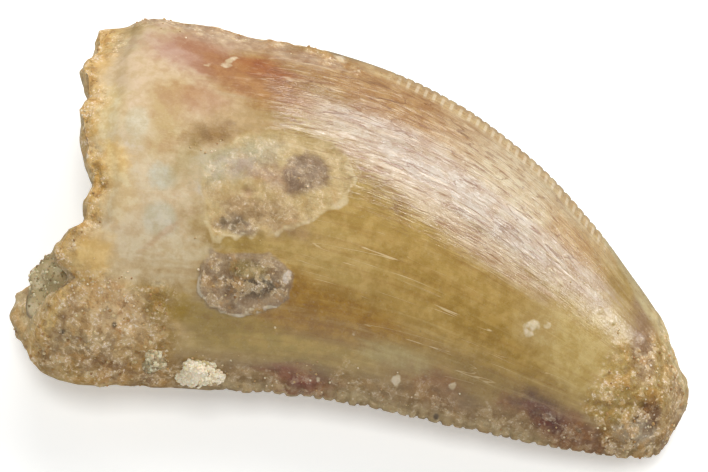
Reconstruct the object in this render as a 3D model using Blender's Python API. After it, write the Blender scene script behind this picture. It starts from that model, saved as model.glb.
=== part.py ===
"""A raptor's tooth, as it came out of the rock.

The crown lies on its side. Its root is broken off, so the pulp cavity shows at the base, still plugged with rock,
and two crumbs of sandstone cling to its rear edge. +X runs from the broken base to the tip, +Y to the front edge
and +Z up. The origin is the middle of the small flat spot that the tooth lies on.
"""

import math

import bmesh
import bpy
import numpy as np
from mathutils import Vector, noise

MM = 0.001

# Driving dimensions, in millimetres. A bulge is a share of the crown's depth from edge to edge.
UPPER_BULGE = 0.27
LOWER_BULGE = 0.21
FULLNESS = 0.8  # under 1 the flanks are fuller than a parabola
BELLY_RISE = 0.6  # how far the belly line has risen 10 mm from the rest spot
REST_CUT = 0.12  # what the flat rest spot takes off the belly
FRONT_PITCH = 0.31
REAR_PITCH = 0.34
FRONT_DENTICLE = 0.17
REAR_DENTICLE = 0.12
CAVITY_WALL = 1.0
CAVITY_END = -4.4  # where the cavity's plugged part ends
SCAR_DEPTH = 0.18
SCAR_LIP = 0.08
PLATE_HEIGHT = 0.15
SCAR_EDGE = 0.35  # how far in from its outline the scar is fully deep
PLATE_EDGE = 0.25
CRUMB_HEIGHT = 0.38
GAP = 0.15  # kept between two pieces

# Rough ground: the size of its lumps and how far they stand in or out
CRUST_LUMP = 0.9
CRUST_REACH = 0.16
SWELL_LUMP = 2.6
SWELL_REACH = 0.05
EDGE_LUMP = 0.8
EDGE_REACH = 0.12
ROCK_LUMP = 0.6
ROCK_REACH = 0.16
SAND_LUMP = 0.3
SAND_REACH = 0.14

# The two cutting edges seen from above, base to tip. They meet in the worn tip.
FRONT_EDGE = [
    (-7.6, 3.9), (-6.8, 4.25), (-6.05, 4.75), (-3.45, 5.1), (-1.25, 5.4), (1.05, 5.4), (2.95, 5.1), (4.45, 4.65),
    (6.05, 3.95), (7.7, 2.95), (9.1, 1.95), (10.3, 1.0), (11.1, 0.05), (11.6, -0.6), (11.8, -1.2),
]
REAR_EDGE = [
    (-6.35, -5.85), (-5.6, -6.1), (-4.75, -6.1), (-3.65, -5.75), (-1.35, -5.05), (1.2, -4.4), (3.5, -4.05),
    (6.65, -3.75), (10.1, -3.25), (11.05, -2.95), (11.55, -2.35), (11.8, -1.2),
]

# How far the broken rim of each wall stands back from the line between the corners, against the share of the
# way from the front corner to the rear one. The lower wall sticks out beyond the upper one near the rear.
UPPER_RIM = [
    (0, 0), (0.09, 0.2), (0.16, 0), (0.25, 0.4), (0.3, 0.25), (0.42, 0.75), (0.5, 1.2), (0.55, 1.05), (0.61, 1.45),
    (0.66, 0.95), (0.7, 0.85), (0.76, 1.4), (0.8, 0.95), (0.86, 0.5), (0.9, 0.4), (0.95, 0.05), (1, 0),
]
LOWER_RIM = [
    (0, 0), (0.2, 0.35), (0.45, 1.2), (0.62, 0.7), (0.68, 0), (0.74, -0.5), (0.78, -0.4), (0.82, -0.8), (0.88, -0.8),
    (0.95, -0.45), (1, 0),
]
RIM_FADE = 0.28  # share of the length over which the broken rim's shape dies out

# The shallow scar where enamel flaked off, and the thin plate of crust beside it, seen from above
SCAR = [
    (-3.1, -0.6), (-2.85, 0.7), (-2.4, 1.5), (-1.65, 2.2), (-0.7, 2.45), (0.1, 2.25), (0.65, 1.8), (0.9, 0.7),
    (0.45, 0.05), (-0.2, -0.45), (-0.7, -0.95), (-2.5, -1.4),
]
PLATE = [
    (-2.4, -1.75), (-2.0, -1.5), (-0.1, -1.35), (0.1, -1.85), (0.05, -2.4), (-0.65, -2.8), (-1.6, -3.05), (-2.2, -2.7),
]

# Where the denticles stand on each edge, as shares of its length: worn short of the first pair, full between the
# middle two, worn again past the last
FRONT_DENTICLES = (0.30, 0.42, 0.76, 0.84)
REAR_DENTICLES = (0.24, 0.34, 0.90, 0.96)

# A crumb's middle and half reach, as shares along the tooth and across it
CRUMBS = {
    "sand_crumb": ((0.252, 0.966), (0.036, 0.030), 1.0),
    "sand_crumb_small": ((0.184, 0.944), (0.021, 0.025), 0.6),
}

ROWS = 62
UPPER_COLUMNS = 22
LOWER_COLUMNS = 15


def material(name, colour, roughness):
    made = bpy.data.materials.new(name)
    made.use_nodes = True
    shader = made.node_tree.nodes["Principled BSDF"]
    shader.inputs["Base Color"].default_value = (*colour, 1)
    shader.inputs["Roughness"].default_value = roughness
    shader.inputs["Metallic"].default_value = 0
    return made


def smooth_step(low, high, value):
    share = min(max((value - low) / (high - low), 0), 1)
    return share * share * (3 - 2 * share)


def smooth_curve(points, steps=40):
    """Dense points on a Catmull-Rom curve, each one's share of the way along, and the length."""
    knots = np.array(points, float)
    knots = np.vstack([2 * knots[0] - knots[1], knots, 2 * knots[-1] - knots[-2]])
    t = np.linspace(0, 1, steps, endpoint=False)[:, None]
    made = []
    for a, b, c, d in zip(knots, knots[1:], knots[2:], knots[3:]):
        made.append(0.5 * (2 * b + (c - a) * t + (2 * a - 5 * b + 4 * c - d) * t**2 + (3 * b - a - 3 * c + d) * t**3))
    path = np.vstack(made + [knots[-2:-1]])
    along = np.concatenate([[0], np.cumsum(np.linalg.norm(np.diff(path, axis=0), axis=1))])
    return path, along / along[-1], along[-1]


FRONT = smooth_curve(FRONT_EDGE)
REAR = smooth_curve(REAR_EDGE)


def on_edge(edge, t):
    path, shares, _ = edge
    return Vector((np.interp(t, shares, path[:, 0]), np.interp(t, shares, path[:, 1]), 0))


def read_off(pairs, v):
    return float(np.interp(v, [pair[0] for pair in pairs], [pair[1] for pair in pairs]))


def profile(v):
    return (4 * v * (1 - v)) ** FULLNESS


def depth_inside(outline, x, y):
    """How far inside an outline a point lies, negative outside it."""
    nearest, inside = math.inf, False
    for (ax, ay), (bx, by) in zip(outline, outline[1:] + outline[:1]):
        run, rise = bx - ax, by - ay
        share = min(max(((x - ax) * run + (y - ay) * rise) / (run * run + rise * rise), 0), 1)
        nearest = min(nearest, math.hypot(x - ax - share * run, y - ay - share * rise))
        if (ay > y) != (by > y) and x < ax + (y - ay) / rise * run:
            inside = not inside
    return nearest if inside else -nearest


def lumps(point, size, reach):
    """Bumps about size across that stand up to reach in or out, the same each time."""
    return reach * noise.noise(point / size)


def plain_point(t, v, side):
    """The even surface, before relief: t along the tooth, v from front edge to rear edge, side 1 up or -1 down."""
    front, rear = on_edge(FRONT, t), on_edge(REAR, t)
    depth = (front - rear).length
    middle = (front + rear) / 2
    point = front.lerp(rear, v)
    rim = UPPER_RIM if side > 0 else LOWER_RIM
    point.x += read_off(rim, v) * max(1 - t / RIM_FADE, 0) ** 2
    edge_height = LOWER_BULGE * depth + BELLY_RISE * (middle.x / 10) ** 2 - REST_CUT
    bulge = UPPER_BULGE if side > 0 else LOWER_BULGE
    point.z = edge_height + side * bulge * depth * profile(v)
    return point


def relief(point, t, v, side):
    """What stands off the even surface: the scar, the crust plate, and the rough base, rear corner and tip."""
    base_and_tip = smooth_step(0.16, 0.0, t) + smooth_step(0.9, 0.97, t)
    rear_corner = smooth_step(0.62, 0.85, v) * smooth_step(0.24, 0.12, t)
    rough = min(base_and_tip + rear_corner, 1)
    raised = lumps(point, CRUST_LUMP, CRUST_REACH * rough) + lumps(point, SWELL_LUMP, SWELL_REACH)
    if side > 0:
        inside = depth_inside(SCAR, point.x, point.y)
        raised -= SCAR_DEPTH * smooth_step(0, SCAR_EDGE, inside)
        raised += SCAR_LIP * smooth_step(-SCAR_EDGE, 0, inside) * smooth_step(SCAR_EDGE / 2, 0, inside)
        raised += PLATE_HEIGHT * smooth_step(0, PLATE_EDGE, depth_inside(PLATE, point.x, point.y))
    return raised


def crown_point(t, v, side):
    point = plain_point(t, v, side)
    point.z += side * relief(point, t, v, side) * min(profile(v) * 2, 1)
    point.z = max(point.z, 0)
    return point


def outward(t, v, side):
    """Unit normal of the even surface."""
    step = 0.004
    along = plain_point(min(t + step, 1), v, side) - plain_point(t - step, v, side)
    across = plain_point(t, min(v + step, 1), side) - plain_point(t, v - step, side)
    normal = along.cross(across).normalized()
    return normal if normal.z * side > 0 else -normal


def denticle_edge(edge, other, pitch, reach, standing):
    """Points along a cutting edge, base to tip, three to a denticle, with the share of the way at each."""
    path_length = edge[2]
    count = round(path_length / pitch)
    middle_v = 0 if edge is FRONT else 1
    chain = []
    for index in range(count):
        for phase, height in ((0.0, 0.0), (0.3, 1.0), (0.7, 1.0)):
            t = (index + phase) / count
            point = plain_point(t, middle_v, 1)
            away = (on_edge(edge, t) - on_edge(other, t)).normalized()
            full = smooth_step(standing[0], standing[1], t) * smooth_step(standing[3], standing[2], t)
            worn = reach * (0.15 + 0.85 * full) * smooth_step(0, 0.03, t) * smooth_step(1, 0.96, t)
            crust = lumps(point, EDGE_LUMP, EDGE_REACH) * (1 - full) * smooth_step(0, 0.03, t) * smooth_step(1, 0.98, t)
            chain.append((t, point + away * (worn * height + crust)))
    return chain


def column_shares(count):
    """Shares across the tooth, closer together near both edges, without the edges themselves."""
    even = [j / count for j in range(1, count)]
    return [0.35 * share + 0.65 * (0.5 - 0.5 * math.cos(math.pi * share)) for share in even]


def add_face(bm, corners):
    """A face over the corners, leaving out repeats, which happen where a strip ends in a point."""
    kept = [corner for index, corner in enumerate(corners) if corner is not corners[index - 1]]
    if len(kept) > 2:
        bm.faces.new(kept)


def stitch(bm, left, right):
    """Triangles between two chains of (share, vertex) that run side by side and may hold different counts."""
    i = j = 0
    while i < len(left) - 1 or j < len(right) - 1:
        next_left = left[i + 1][0] if i < len(left) - 1 else math.inf
        next_right = right[j + 1][0] if j < len(right) - 1 else math.inf
        if next_left <= next_right:
            add_face(bm, [left[i][1], left[i + 1][1], right[j][1]])
            i += 1
        else:
            add_face(bm, [left[i][1], right[j + 1][1], right[j][1]])
            j += 1


def side_columns(bm, shares, side, tip):
    columns = []
    for v in shares:
        column = [(row / ROWS, bm.verts.new(crown_point(row / ROWS, v, side) * MM)) for row in range(ROWS)]
        columns.append(column + [(1, tip)])
    return columns


def bridge(bm, first, second):
    """Quads between two closed rings of as many vertices."""
    for index in range(len(first)):
        bm.faces.new([first[index - 1], first[index], second[index], second[index - 1]])


def base_line_x(v):
    return on_edge(FRONT, 0).lerp(on_edge(REAR, 0), v)


def cavity_point(v, side, inset, deep):
    """A point on the way from the broken rim, inset 0, over the wall's break to the cavity's mouth, inset 1,
    and then, as deep goes from 0 to 1, down to the end of the plugged part."""
    mouth_v = 0.15 + 0.73 * v
    at = v + (mouth_v - v) * inset
    fullness = (4 * v * (1 - v)) ** 0.4
    upper, lower = plain_point(0, at, 1), plain_point(0, at, -1)
    middle_z = (upper.z + lower.z) / 2
    half = max((upper.z - lower.z) / 2 - CAVITY_WALL * inset, 0.12)
    shrink = 1 - 0.3 * deep
    own = upper if side > 0 else lower
    x = (upper.x + lower.x) / 2 + (own.x - (upper.x + lower.x) / 2) * (fullness if side else 0)
    point = base_line_x(0.5 + (at - 0.5) * shrink)
    point.x = x + (CAVITY_END - x) * deep
    point.z = middle_z + side * half * fullness * shrink
    return point


def ring_shares():
    """Where the points of a ring round the base stand, as (v, side), in the order of the crown's own columns."""
    upper = [(v, 1) for v in column_shares(UPPER_COLUMNS)]
    lower = [(v, -1) for v in reversed(column_shares(LOWER_COLUMNS))]
    return [(0, 0)] + upper + [(1, 0)] + lower


def make_tooth():
    bm = bmesh.new()
    tip = bm.verts.new(plain_point(1, 0, 1) * MM)
    chains = []
    for edge, other, pitch, reach, standing in (
        (FRONT, REAR, FRONT_PITCH, FRONT_DENTICLE, FRONT_DENTICLES),
        (REAR, FRONT, REAR_PITCH, REAR_DENTICLE, REAR_DENTICLES),
    ):
        points = denticle_edge(edge, other, pitch, reach, standing)
        chains.append([(t, bm.verts.new(point * MM)) for t, point in points] + [(1, tip)])
    front, rear = chains
    rings = {}
    for side, count in ((1, UPPER_COLUMNS), (-1, LOWER_COLUMNS)):
        columns = side_columns(bm, column_shares(count), side, tip)
        rings[side] = [column[0][1] for column in columns]
        for one, two in zip([front] + columns, columns + [rear]):
            if one is front or two is rear:
                stitch(bm, one, two)
                continue
            for row in range(ROWS):
                add_face(bm, [one[row][1], one[row + 1][1], two[row + 1][1], two[row][1]])
    rim = [front[0][1]] + rings[1] + [rear[0][1]] + rings[-1][::-1]
    for inset, deep, proud in ((0.4, 0, 0.16), (0.75, 0, 0.12), (1, 0, 0), (1, 0.35, 0), (1, 0.75, 0), (1, 1, 0)):
        ring = []
        for v, side in ring_shares():
            point = cavity_point(v, side, inset, deep)
            point.x -= proud + lumps(point, 0.7, proud)
            ring.append(bm.verts.new(point * MM))
        bridge(bm, rim, ring)
        rim = ring
    bm.faces.new(rim)
    return finished(bm, "tooth")


def make_cavity_fill():
    """The rock in the cavity: its face slopes from the upper wall's notch out along the lower wall."""
    bm = bmesh.new()
    rings = []
    for inward, deep in ((0.75, 0), (0.4, 0), (0, 0), (0, 0.35), (0, 0.75), (0, 0.94)):
        ring = []
        for v, side in ring_shares():
            point = cavity_point(v, side, 1, deep)
            centre = cavity_point(0.55, 0, 1, deep)
            rock = Vector((0, point.y - centre.y, point.z - centre.z))
            slack = GAP if rock.length > 2 * GAP else rock.length / 2
            point -= rock.normalized() * slack
            point = point.lerp(centre, inward)
            if deep == 0:
                recess = 0.15 if side > 0 else 0.55
                point.x += recess - 0.3 * inward + lumps(point, ROCK_LUMP, ROCK_REACH)
            ring.append(bm.verts.new(point * MM))
        rings.append(ring)
    for first, second in zip(rings, rings[1:]):
        bridge(bm, first, second)
    bm.faces.new(rings[0])
    bm.faces.new(rings[-1])
    return finished(bm, "cavity_fill")


def make_crumb(name, middle, reach, share):
    """A lumpy patch of sand that follows the flank under it."""
    bm = bmesh.new()
    spokes = 18
    layers = []
    for top, radius in ((0, 0.5), (0, 0.92), (0.45, 1.04), (0.8, 0.9), (0.95, 0.62), (1, 0.3)):
        ring = []
        for spoke in range(spokes):
            turn = 2 * math.pi * spoke / spokes
            ragged = radius * (1 + 0.16 * math.sin(3 * turn + 1) + 0.1 * math.sin(5 * turn))
            t = middle[0] + reach[0] * ragged * math.cos(turn)
            v = min(middle[1] + reach[1] * ragged * math.sin(turn), 0.994)
            point = plain_point(t, v, 1)
            height = GAP + CRUMB_HEIGHT * share * top
            height += lumps(point + Vector((0, 0, top)), SAND_LUMP, SAND_REACH * top)
            ring.append(bm.verts.new((point + outward(t, v, 1) * height) * MM))
        layers.append(ring)
    for first, second in zip(layers, layers[1:]):
        bridge(bm, first, second)
    bm.faces.new(layers[0])
    bm.faces.new(layers[-1])
    return finished(bm, name)


def finished(bm, name):
    bmesh.ops.triangulate(bm, faces=[face for face in bm.faces if len(face.verts) > 3])
    bmesh.ops.recalc_face_normals(bm, faces=bm.faces)
    mesh = bpy.data.meshes.new(name)
    bm.to_mesh(mesh)
    bm.free()
    mesh.shade_smooth()
    mesh.set_sharp_from_angle(angle=math.radians(40))
    piece = bpy.data.objects.new(name, mesh)
    bpy.context.scene.collection.objects.link(piece)
    return piece


def main():
    for leftover in list(bpy.data.objects):
        bpy.data.objects.remove(leftover, do_unlink=True)
    enamel = material("fossil enamel and dentine", (0.42, 0.24, 0.09), 0.35)
    rock = material("grey-green cavity rock", (0.25, 0.22, 0.14), 0.9)
    sand = material("pale sandstone", (0.55, 0.5, 0.42), 0.9)
    make_tooth().data.materials.append(enamel)
    make_cavity_fill().data.materials.append(rock)
    for name, (middle, reach, share) in CRUMBS.items():
        make_crumb(name, middle, reach, share).data.materials.append(sand)


main()
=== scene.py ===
"""A fossil raptor tooth lying on its side on a white table under a softbox.

Shapes are worked out in millimetres and turned to metres when a mesh is made. Along the tooth a place is a
share t from the broken base to the tip, and across it a share v from the front edge to the rear one, on the
upper side (side 1) or the lower (side -1).
"""

import functools
import math

import bpy
import numpy as np
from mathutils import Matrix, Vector


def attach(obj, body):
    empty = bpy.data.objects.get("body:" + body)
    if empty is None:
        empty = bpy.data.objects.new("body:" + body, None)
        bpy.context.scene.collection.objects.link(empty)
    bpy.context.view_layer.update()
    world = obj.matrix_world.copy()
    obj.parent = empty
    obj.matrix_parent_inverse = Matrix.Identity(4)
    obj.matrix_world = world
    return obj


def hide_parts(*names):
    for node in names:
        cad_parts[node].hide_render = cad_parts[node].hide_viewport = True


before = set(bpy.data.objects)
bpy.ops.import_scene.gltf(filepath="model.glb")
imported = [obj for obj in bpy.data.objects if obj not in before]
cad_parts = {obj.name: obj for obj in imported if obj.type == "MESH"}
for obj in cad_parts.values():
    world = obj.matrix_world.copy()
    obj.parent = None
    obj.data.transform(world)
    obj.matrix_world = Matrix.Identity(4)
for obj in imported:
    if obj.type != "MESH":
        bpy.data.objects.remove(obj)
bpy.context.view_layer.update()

MM = 0.001

# The tooth's form, as its solid has it
UPPER_BULGE = 0.27
LOWER_BULGE = 0.21
FULLNESS = 0.8
BELLY_RISE = 0.6
REST_CUT = 0.12
CAVITY_WALL = 1.0
CAVITY_END = -4.4
RIM_FADE = 0.28
FRONT_EDGE = [
    (-7.6, 3.9), (-6.8, 4.25), (-6.05, 4.75), (-3.45, 5.1), (-1.25, 5.4), (1.05, 5.4), (2.95, 5.1),
    (4.45, 4.65), (6.05, 3.95), (7.7, 2.95), (9.1, 1.95), (10.3, 1.0), (11.1, 0.05), (11.6, -0.6),
    (11.8, -1.2),
]
REAR_EDGE = [
    (-6.35, -5.85), (-5.6, -6.1), (-4.75, -6.1), (-3.65, -5.75), (-1.35, -5.05), (1.2, -4.4),
    (3.5, -4.05), (6.65, -3.75), (10.1, -3.25), (11.05, -2.95), (11.55, -2.35), (11.8, -1.2),
]
UPPER_RIM = [
    (0, 0), (0.09, 0.2), (0.16, 0), (0.25, 0.4), (0.3, 0.25), (0.42, 0.75), (0.5, 1.2), (0.55, 1.05),
    (0.6, 1.15), (0.636, 0.75), (0.68, 0.5), (0.715, 0.35), (0.735, 0.75), (0.757, 1.1), (0.8, 0.75),
    (0.86, 0.35), (0.9, 0.25), (0.95, 0.05), (1, 0),
]
LOWER_RIM = [
    (0, 0), (0.2, 0.35), (0.45, 1.2), (0.62, 0.7), (0.68, 0), (0.74, -0.5), (0.78, -0.4), (0.82, -0.8),
    (0.88, -0.8), (0.95, -0.45), (1, 0),
]
SCAR = [
    (-2.93, -0.39), (-3.09, 0.33), (-2.99, 0.99), (-2.37, 1.79), (-1.24, 2.34), (-0.24, 2.44),
    (0.47, 2.06), (0.86, 1.42), (0.89, 0.79), (0.44, 0.29), (-0.1, -0.28), (-0.44, -0.57), (-0.98, -0.94),
    (-1.53, -1.2), (-2.18, -1.35), (-2.63, -0.85),
]
PLATE = [
    (-2.34, -2.52), (-2.16, -2.87), (-1.7, -3.1), (-1.15, -3.03), (-0.42, -2.8), (0.02, -2.6),
    (0.25, -2.18), (0.01, -1.42), (-0.71, -1.27), (-1.4, -1.55), (-2.1, -1.79), (-2.37, -2.21),
]
# Flakes of white enamel left on the worn surface, dark mineral dots, and the parts that glitter with fine
# sand: each x, y, half length, half width, degrees
CHIPS = [
    (6.87, -0.74, 0.2, 0.14, 20), (6.82, -0.98, 0.12, 0.09, 0), (7.25, -0.62, 0.08, 0.06, 0),
    (-0.71, 5.22, 0.17, 0.08, -10), (3.72, -3.25, 0.13, 0.16, 0), (5.25, -2.93, 0.07, 0.07, 0),
    (8.56, 0.35, 0.12, 0.07, 40), (8.97, 0.16, 0.14, 0.08, 60), (10.63, -2.46, 0.2, 0.11, -10),
    (11.0, -2.17, 0.12, 0.1, 0), (-3.57, 3.91, 0.28, 0.06, 50), (-3.8, 3.6, 0.2, 0.04, 20),
    (6.9, 0.95, 0.12, 0.07, -30), (7.25, 0.7, 0.16, 0.06, -30), (1.6, -3.9, 0.06, 0.05, 0),
    (2.2, -2.5, 0.05, 0.05, 0),
]
DOTS = [
    (2.6, 0.96, 0.04, 0.03, 0), (5.06, -3.77, 0.08, 0.07, 0), (-5.54, -4.97, 0.1, 0.05, 20),
    (-4.16, -4.4, 0.07, 0.08, 0), (9.0, -2.95, 0.09, 0.04, -10), (3.95, -1.9, 0.03, 0.03, 0),
]
SUGARY = [
    (-1.0, -3.0, 0.9, 0.12, 6), (0.0, -2.5, 0.2, 0.3, 0), (-2.1, -2.8, 0.3, 0.12, -50),
    (-4.5, -3.9, 1.7, 0.95, -10), (10.7, -1.9, 1.2, 1.5, 0), (-1.9, -2.35, 0.5, 0.45, 0),
    (-1.5, -0.95, 1.1, 0.3, 20), (-0.35, 1.1, 0.6, 0.6, 0), (0.0, -1.75, 0.14, 0.28, 0),
    (9.5, -0.2, 0.8, 0.9, 0), (-4.0, 4.5, 2.0, 0.35, 0), (7.6, 0.9, 0.8, 0.5, -30),
    (-2.6, 1.6, 1.0, 0.3, 35),
]
# The denticles: their spacing in mm, and the shares t where they start, are full, begin to fade and end
FRONT_PITCH = 0.285
REAR_PITCH = 0.34
FRONT_DENTICLES = (0.375, 0.425, 0.735, 0.775)
REAR_DENTICLES = (0.24, 0.34, 0.90, 0.96)
# How far the denticles stand out and how deep the grooves between them are, in metres, and how far in from
# the edge they reach, in mm
DENTICLES = {"Front reach": 0.000015, "Rear reach": 0.00005, "Groove": 0.000025, "Root": 0.5, "Seed": 4}
# The crumbs' places and half sizes as shares t and v, and the share of their full height they have
CRUMBS = {
    "sand_crumb": ((0.250, 0.963), (0.030, 0.026), 1.0),
    "sand_crumb_small": ((0.183, 0.940), (0.014, 0.026), 0.6),
}
CRUMB_HEIGHT = 0.38

# Mesh counts
ROWS = 480
UPPER_COLUMNS = 120
LOWER_COLUMNS = 66

# The table, in metres: just below the tooth, so that the two don't share a face
TABLE_REACH = 0.6
TABLE_TOP = -1e-5

# The camera, in degrees and millimetres: what it aims at, and how many millimetres the picture spans there
CAMERA_AZIMUTH = 18
CAMERA_ELEVATION = 78
CAMERA_AIM = (1.25, 0.45, 2.0)
CAMERA_LENS = 150
CAMERA_SENSOR = 36
PICTURE_WIDTH = 20.23

# Lights: bearing clockwise from the picture's top and height above the table in degrees, distance, width
# and height in metres, watts, and whether it shows in reflections; the polarised one doesn't
LIGHTS = [
    ("key softbox", 28, 38, 0.15, 0.24, 0.032, 0.225, True),
    ("polarised overhead softbox", 0, 87, 0.25, 0.08, 0.08, 0.27, False),
    ("fill card", 180, 20, 0.15, 0.30, 0.12, 0.06, True),
]


def linear(colour):
    """An sRGB hex colour as linear RGBA."""
    parts = [int(colour[i:i + 2], 16) / 255 for i in (1, 3, 5)]
    return [p / 12.92 if p <= 0.04045 else ((p + 0.055) / 1.055) ** 2.4 for p in parts] + [1]


SPREAD = ("Value", "From Min", "From Max", "To Min", "To Max")
# Every kind of node used: its type, its settings, its inputs in order, and the output that is used
KINDS = {
    "object place": ("ShaderNodeTexCoord", {}, (), "Object"),
    "growth map": ("ShaderNodeUVMap", {"uv_map": "growth"}, (), "UV"),
    "scaled": ("ShaderNodeMapping", {}, ("Vector", "Scale"), "Vector"),
    "noise": ("ShaderNodeTexNoise", {}, ("Vector", "Scale", "Detail", "Roughness", "Distortion"), "Fac"),
    "cells": ("ShaderNodeTexVoronoi", {}, ("Vector", "Scale"), "Distance"),
    "field": ("ShaderNodeAttribute", {}, (), "Fac"),
    "colour parts": ("ShaderNodeSeparateColor", {}, ("Color",), 0),
    "spread": ("ShaderNodeMapRange", {"interpolation_type": "SMOOTHSTEP"}, SPREAD, "Result"),
    "even spread": ("ShaderNodeMapRange", {}, SPREAD, "Result"),
    "mix": ("ShaderNodeMix", {"data_type": "RGBA"}, (0, 6, 7), 2),
    "darken": ("ShaderNodeMix", {"data_type": "RGBA", "blend_type": "MULTIPLY"}, (0, 6, 7), 2),
    "ramp": ("ShaderNodeValToRGB", {}, ("Fac",), "Color"),
    "bump": ("ShaderNodeBump", {}, ("Strength", "Distance", "Height"), "Normal"),
    "stored": ("GeometryNodeInputNamedAttribute", {"data_type": "FLOAT"}, ("Name",), 0),
    "stored vector": ("GeometryNodeInputNamedAttribute", {"data_type": "FLOAT_VECTOR"}, ("Name",), 0),
    "random": ("FunctionNodeRandomValue", {"data_type": "FLOAT"}, (2, 3, "Seed", "ID"), 1),
    "random turn": ("FunctionNodeRandomValue", {"data_type": "FLOAT_VECTOR"}, (0, 1, "Seed"), 0),
    "position": ("GeometryNodeInputPosition", {}, (), 0),
    "normal": ("GeometryNodeInputNormal", {}, (), 0),
    "move": ("GeometryNodeSetPosition", {}, ("Geometry", "Offset"), 0),
    "strew": ("GeometryNodeDistributePointsOnFaces", {}, ("Mesh", "Density", "Seed"), "Points"),
    "ball": ("GeometryNodeMeshIcoSphere", {}, ("Radius", "Subdivisions"), "Mesh"),
    "smooth": ("GeometryNodeSetShadeSmooth", {}, ("Geometry", "Shade Smooth"), 0),
    "copies": ("GeometryNodeInstanceOnPoints", {}, ("Points", "Instance", "Rotation", "Scale"), 0),
    "keep": ("GeometryNodeStoreNamedAttribute", {"data_type": "FLOAT", "domain": "INSTANCE"},
             ("Geometry", "Name", "Value"), 0),
    "join": ("GeometryNodeJoinGeometry", {}, ("Geometry",), 0),
    "make real": ("GeometryNodeRealizeInstances", {}, ("Geometry",), 0),
    "dress": ("GeometryNodeSetMaterial", {}, ("Geometry", "Material"), 0),
}
for word in "add subtract multiply multiply_add maximum absolute fract floor power".split():
    KINDS[word] = ("ShaderNodeMath", {"operation": word.upper()}, (0, 1, 2), 0)
for word, second in (("add", 1), ("subtract", 1), ("scale", "Scale")):
    KINDS["vector " + word] = ("ShaderNodeVectorMath", {"operation": word.upper()}, (0, second), 0)


def add(tree, kind, *values, **settings):
    """A node of one of these kinds, its inputs filled in order from values and links; gives its output."""
    node_type, fixed, sockets, output = KINDS[kind]
    made = tree.nodes.new(node_type)
    for name, value in (fixed | settings).items():
        setattr(made, name, value)
    for socket, value in zip(sockets, values):
        if isinstance(value, bpy.types.NodeSocket):
            tree.links.new(value, made.inputs[socket])
        else:
            made.inputs[socket].default_value = value
    return made.outputs[output]


def new_material(name, values):
    """A material with these even values on its shader, its node tree and the shader."""
    material = bpy.data.materials.new(name)
    material.use_nodes = True
    shader = material.node_tree.nodes["Principled BSDF"]
    for socket, value in values.items():
        shader.inputs[socket].default_value = value
    return material, material.node_tree, shader


def ease(low, high, value):
    share = np.clip((value - low) / (high - low), 0, 1)
    return share * share * (3 - 2 * share)


def grain(points, size, seed=0):
    """Smooth random values from -1 to 1 about size apart, at an array of points, the same each run."""
    where = points / size + seed * 19.37 + 500
    cell = np.floor(where).astype(np.int64)
    part = where - cell
    part = part * part * (3 - 2 * part)
    total = np.zeros(points.shape[:-1])
    for corner in range(8):
        offset = np.array([corner & 1, corner >> 1 & 1, corner >> 2 & 1])
        key = ((cell + offset) * np.array([73856093, 19349663, 83492791])).sum(-1) & 0x7FFFFFFF
        key = (key ^ key >> 13) * 1274126177 & 0x7FFFFFFF
        value = ((key ^ key >> 16) & 0xFFFF) / 32767.5 - 1
        total += value * np.prod(np.where(offset, part, 1 - part), axis=-1)
    return total


def smooth_curve(points, steps=60):
    """Dense points on a Catmull-Rom curve, each one's share of the way along, and the length."""
    knots = np.array(points, float)
    knots = np.vstack([2 * knots[0] - knots[1], knots, 2 * knots[-1] - knots[-2]])
    t = np.linspace(0, 1, steps, endpoint=False)[:, None]
    made = []
    for a, b, c, d in zip(knots, knots[1:], knots[2:], knots[3:]):
        squared, cubed = 2 * a - 5 * b + 4 * c - d, 3 * b - a - 3 * c + d
        made.append(0.5 * (2 * b + (c - a) * t + squared * t**2 + cubed * t**3))
    path = np.vstack(made + [knots[-2:-1]])
    along = np.concatenate([[0], np.cumsum(np.linalg.norm(np.diff(path, axis=0), axis=1))])
    return path, along / along[-1], along[-1]


FRONT = smooth_curve(FRONT_EDGE)
REAR = smooth_curve(REAR_EDGE)


def on_edge(edge, t):
    path, shares, _ = edge
    return np.stack([np.interp(t, shares, path[:, 0]), np.interp(t, shares, path[:, 1])], -1)


def read_off(pairs, v):
    return np.interp(v, [pair[0] for pair in pairs], [pair[1] for pair in pairs])


def profile(v):
    return (4 * np.clip(v * (1 - v), 0, 1)) ** FULLNESS


def plain_surface(t, v, side):
    """The even surface at arrays of places on the tooth, in millimetres."""
    t, v, side = np.broadcast_arrays(np.asarray(t, float), v, side)
    front, rear = on_edge(FRONT, t), on_edge(REAR, t)
    depth = np.linalg.norm(front - rear, axis=-1)
    middle = (front + rear) / 2
    flat = front + (rear - front) * v[..., None]
    rim = np.where(side > 0, read_off(UPPER_RIM, v), read_off(LOWER_RIM, v))
    edge_height = LOWER_BULGE * depth + BELLY_RISE * (middle[..., 0] / 10) ** 2 - REST_CUT
    bulge = np.where(side > 0, UPPER_BULGE, LOWER_BULGE)
    x = flat[..., 0] + rim * np.maximum(1 - t / RIM_FADE, 0) ** 2
    return np.stack([x, flat[..., 1], edge_height + side * bulge * depth * profile(v)], -1)


def inside_outline(points, outline):
    """How far inside an outline seen from above each point lies, negative outside it."""
    x, y = points[..., 0], points[..., 1]
    nearest = np.full(x.shape, np.inf)
    inside = np.zeros(x.shape, bool)
    for (ax, ay), (bx, by) in zip(outline, outline[1:] + outline[:1]):
        run, rise = bx - ax, by - ay
        share = np.clip(((x - ax) * run + (y - ay) * rise) / (run * run + rise * rise), 0, 1)
        nearest = np.minimum(nearest, np.hypot(x - ax - share * run, y - ay - share * rise))
        if rise:
            inside ^= ((ay > y) != (by > y)) & (x < ax + (y - ay) / rise * run)
    return np.where(inside, nearest, -nearest)


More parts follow.
